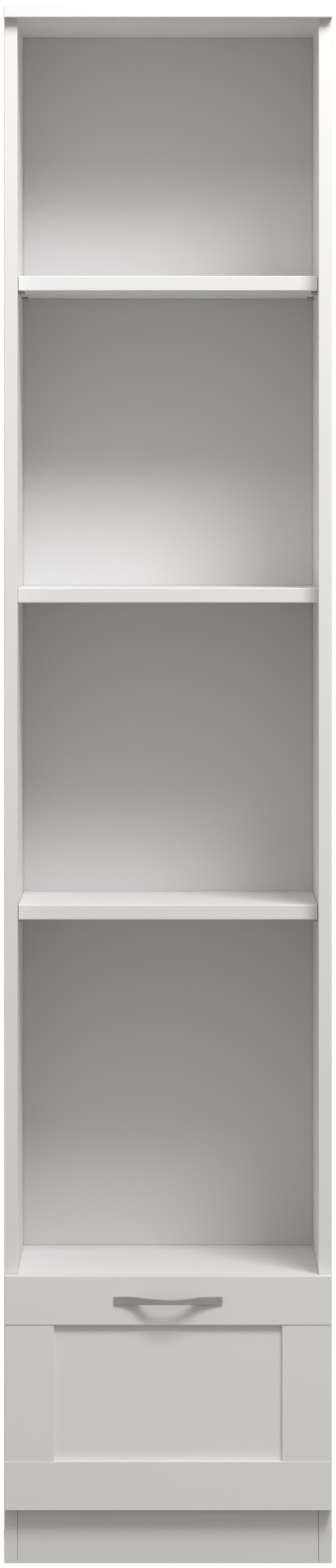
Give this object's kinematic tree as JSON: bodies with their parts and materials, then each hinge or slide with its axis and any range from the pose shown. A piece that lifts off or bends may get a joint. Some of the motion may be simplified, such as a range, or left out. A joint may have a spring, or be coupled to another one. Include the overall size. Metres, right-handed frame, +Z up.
{
  "type": "bookcase with bottom drawer",
  "caption": "Tall narrow white bookcase with open shelves over a bottom drawer that has a framed front and a bow handle and rolls on side runners.",
  "frame": {"origin": "middle of the footprint, handle counted in, on the floor", "axes": "+X to the right of a person facing the front, +Y to the back, +Z up"},
  "size_m": [0.4, 0.37, 1.9],
  "materials": {
    "white_laminate": "white melamine on particle board, satin",
    "front_foil": "white foil on fibreboard, satin",
    "white_hardboard": "white lacquered hardboard",
    "satin_nickel": "satin nickel plate",
    "runner_enamel": "white epoxy enamel",
    "nylon": "moulded nylon",
    "zinc_steel": "bright zinc plate",
    "beech": "bare fluted beech",
    "cap_white": "white stick-on cap",
    "bumper_clear": "soft clear pad"
  },
  "bodies": {
    "carcass": {"side_left": "white_laminate", "side_right": "white_laminate", "top_panel": "white_laminate", "fixed_shelf": "white_laminate", "drawer_cover_board": "white_laminate", "base_board": "white_laminate", "plinth_front": "white_laminate", "plinth_rear": "white_laminate", "back_panel": "white_hardboard", "runner_cabinet_left": "runner_enamel", "runner_cabinet_right": "runner_enamel", "shelf_pins_upper": "zinc_steel", "shelf_pins_lower": "zinc_steel", "carcass_screws": "zinc_steel", "top_cams": "zinc_steel", "top_cam_bolts": "zinc_steel", "front_roller_pins": "zinc_steel", "runner_screws_cabinet": "zinc_steel", "top_dowels": "beech"},
    "drawer": {"front_rail_top": "front_foil", "front_rail_bottom": "front_foil", "front_stile_left": "front_foil", "front_stile_right": "front_foil", "front_panel": "front_foil", "handle": "satin_nickel", "handle_screws": "zinc_steel", "box_side_left": "white_laminate", "box_side_right": "white_laminate", "box_sub_front": "white_laminate", "box_back": "white_laminate", "box_bottom": "white_hardboard", "runner_drawer_left": "runner_enamel", "runner_drawer_right": "runner_enamel", "rear_roller_pins": "zinc_steel", "frame_dowels": "beech", "box_screws": "zinc_steel", "front_fixing_screws": "zinc_steel", "runner_screws_drawer": "zinc_steel"},
    "shelf_upper": {"shelf_upper": "white_laminate"},
    "shelf_lower": {"shelf_lower": "white_laminate"},
    "roller_front_left": {"roller_front_left": "nylon"},
    "roller_front_right": {"roller_front_right": "nylon"},
    "roller_rear_left": {"roller_rear_left": "nylon"},
    "roller_rear_right": {"roller_rear_right": "nylon"}
  },
  "joints": [
    {"name": "drawer_slide", "type": "slide", "parent": "carcass", "child": "drawer", "axis": [0, -1, 0], "range_m": [0, 0.25]},
    {"name": "shelf_upper_lift", "type": "slide", "parent": "carcass", "child": "shelf_upper", "axis": [0, 0, 1], "range_m": [0, 0.04]},
    {"name": "shelf_lower_lift", "type": "slide", "parent": "carcass", "child": "shelf_lower", "axis": [0, 0, 1], "range_m": [0, 0.04]},
    {"name": "roller_front_left_turn", "type": "hinge", "parent": "carcass", "child": "roller_front_left", "pos_m": [-0.1793, -0.133, 0.1087], "axis": [1, 0, 0], "range_deg": [0, 1800]},
    {"name": "roller_front_right_turn", "type": "hinge", "parent": "carcass", "child": "roller_front_right", "pos_m": [0.1793, -0.133, 0.1087], "axis": [1, 0, 0], "range_deg": [0, 1800]},
    {"name": "roller_rear_left_turn", "type": "hinge", "parent": "drawer", "child": "roller_rear_left", "pos_m": [-0.1762, 0.139, 0.1087], "axis": [1, 0, 0], "range_deg": [0, 1800]},
    {"name": "roller_rear_right_turn", "type": "hinge", "parent": "drawer", "child": "roller_rear_right", "pos_m": [0.1762, 0.139, 0.1087], "axis": [1, 0, 0], "range_deg": [0, 1800]}
  ],
  "couplings": [
    {"joint": "roller_front_left_turn", "follows": "drawer_slide", "rad_per_m": 125},
    {"joint": "roller_front_right_turn", "follows": "drawer_slide", "rad_per_m": 125},
    {"joint": "roller_rear_left_turn", "follows": "drawer_slide", "rad_per_m": 125},
    {"joint": "roller_rear_right_turn", "follows": "drawer_slide", "rad_per_m": 125}
  ]
}
